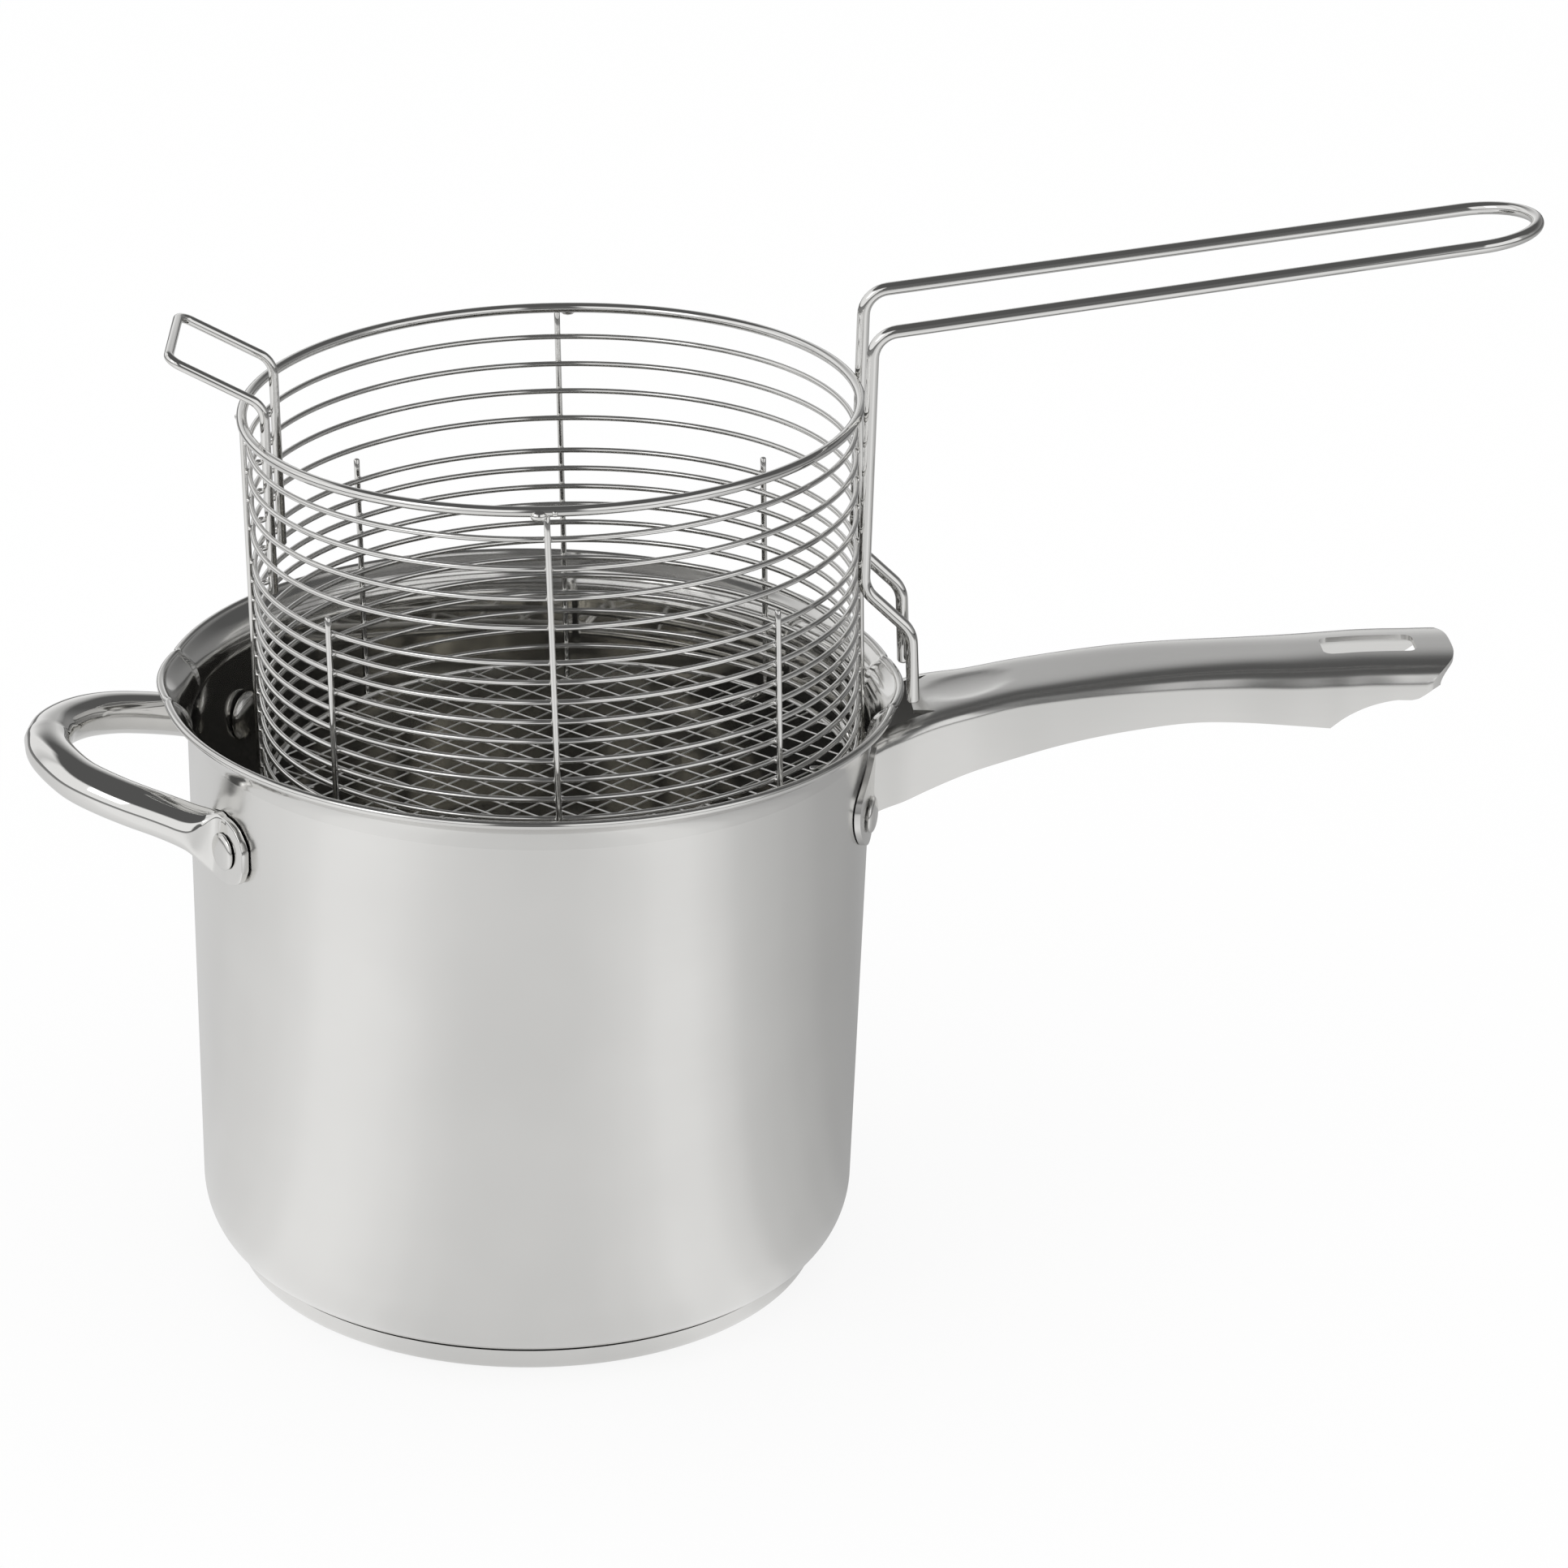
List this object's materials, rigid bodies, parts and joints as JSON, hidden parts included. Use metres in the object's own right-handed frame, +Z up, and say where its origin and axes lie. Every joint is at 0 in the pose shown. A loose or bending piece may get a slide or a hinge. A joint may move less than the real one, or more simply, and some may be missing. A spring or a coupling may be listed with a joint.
{
  "type": "deep fry pot",
  "caption": "Tall round frying pot with pouring lips, a long handle, a helper handle and a tilted wire basket that hangs above it to drain and lifts out.",
  "frame": {"origin": "centre of the pot's flat base, on the surface it stands on", "axes": "+X towards the end of the long handle, +Z up, +Y away from the picture's camera"},
  "size_m": [0.4329, 0.214, 0.322],
  "materials": {
    "satin_steel": "satin outside, mirror inside",
    "polished_steel": "polished",
    "bright_wire": "electropolished steel wire",
    "core_aluminium": "plain, sealed in the base"
  },
  "bodies": {
    "pot": {"pot_body": "satin_steel", "base_cap": "satin_steel", "base_core": "core_aluminium", "main_handle": "satin_steel", "main_rivet_near": "polished_steel", "main_rivet_far": "polished_steel", "helper_handle": "polished_steel", "helper_rivet_near": "polished_steel", "helper_rivet_far": "polished_steel"},
    "basket": {"top_ring": "bright_wire", "ring_01": "bright_wire", "ring_02": "bright_wire", "ring_03": "bright_wire", "ring_04": "bright_wire", "ring_05": "bright_wire", "ring_06": "bright_wire", "ring_07": "bright_wire", "ring_08": "bright_wire", "ring_09": "bright_wire", "ring_10": "bright_wire", "ring_11": "bright_wire", "ring_12": "bright_wire", "ring_13": "bright_wire", "ring_14": "bright_wire", "ring_15": "bright_wire", "ring_16": "bright_wire", "ring_17": "bright_wire", "rib_right": "bright_wire", "rib_back": "bright_wire", "rib_left": "bright_wire", "rib_front": "bright_wire", "short_rib_far_right": "bright_wire", "short_rib_far_left": "bright_wire", "short_rib_near_left": "bright_wire", "short_rib_near_right": "bright_wire", "floor_net": "bright_wire", "basket_handle": "bright_wire", "hook_loop": "bright_wire"}
  },
  "joints": [
    {"name": "basket_lift", "type": "slide", "parent": "pot", "child": "basket", "axis": [0, 0, 1], "range_m": [0, 0.15]}
  ]
}
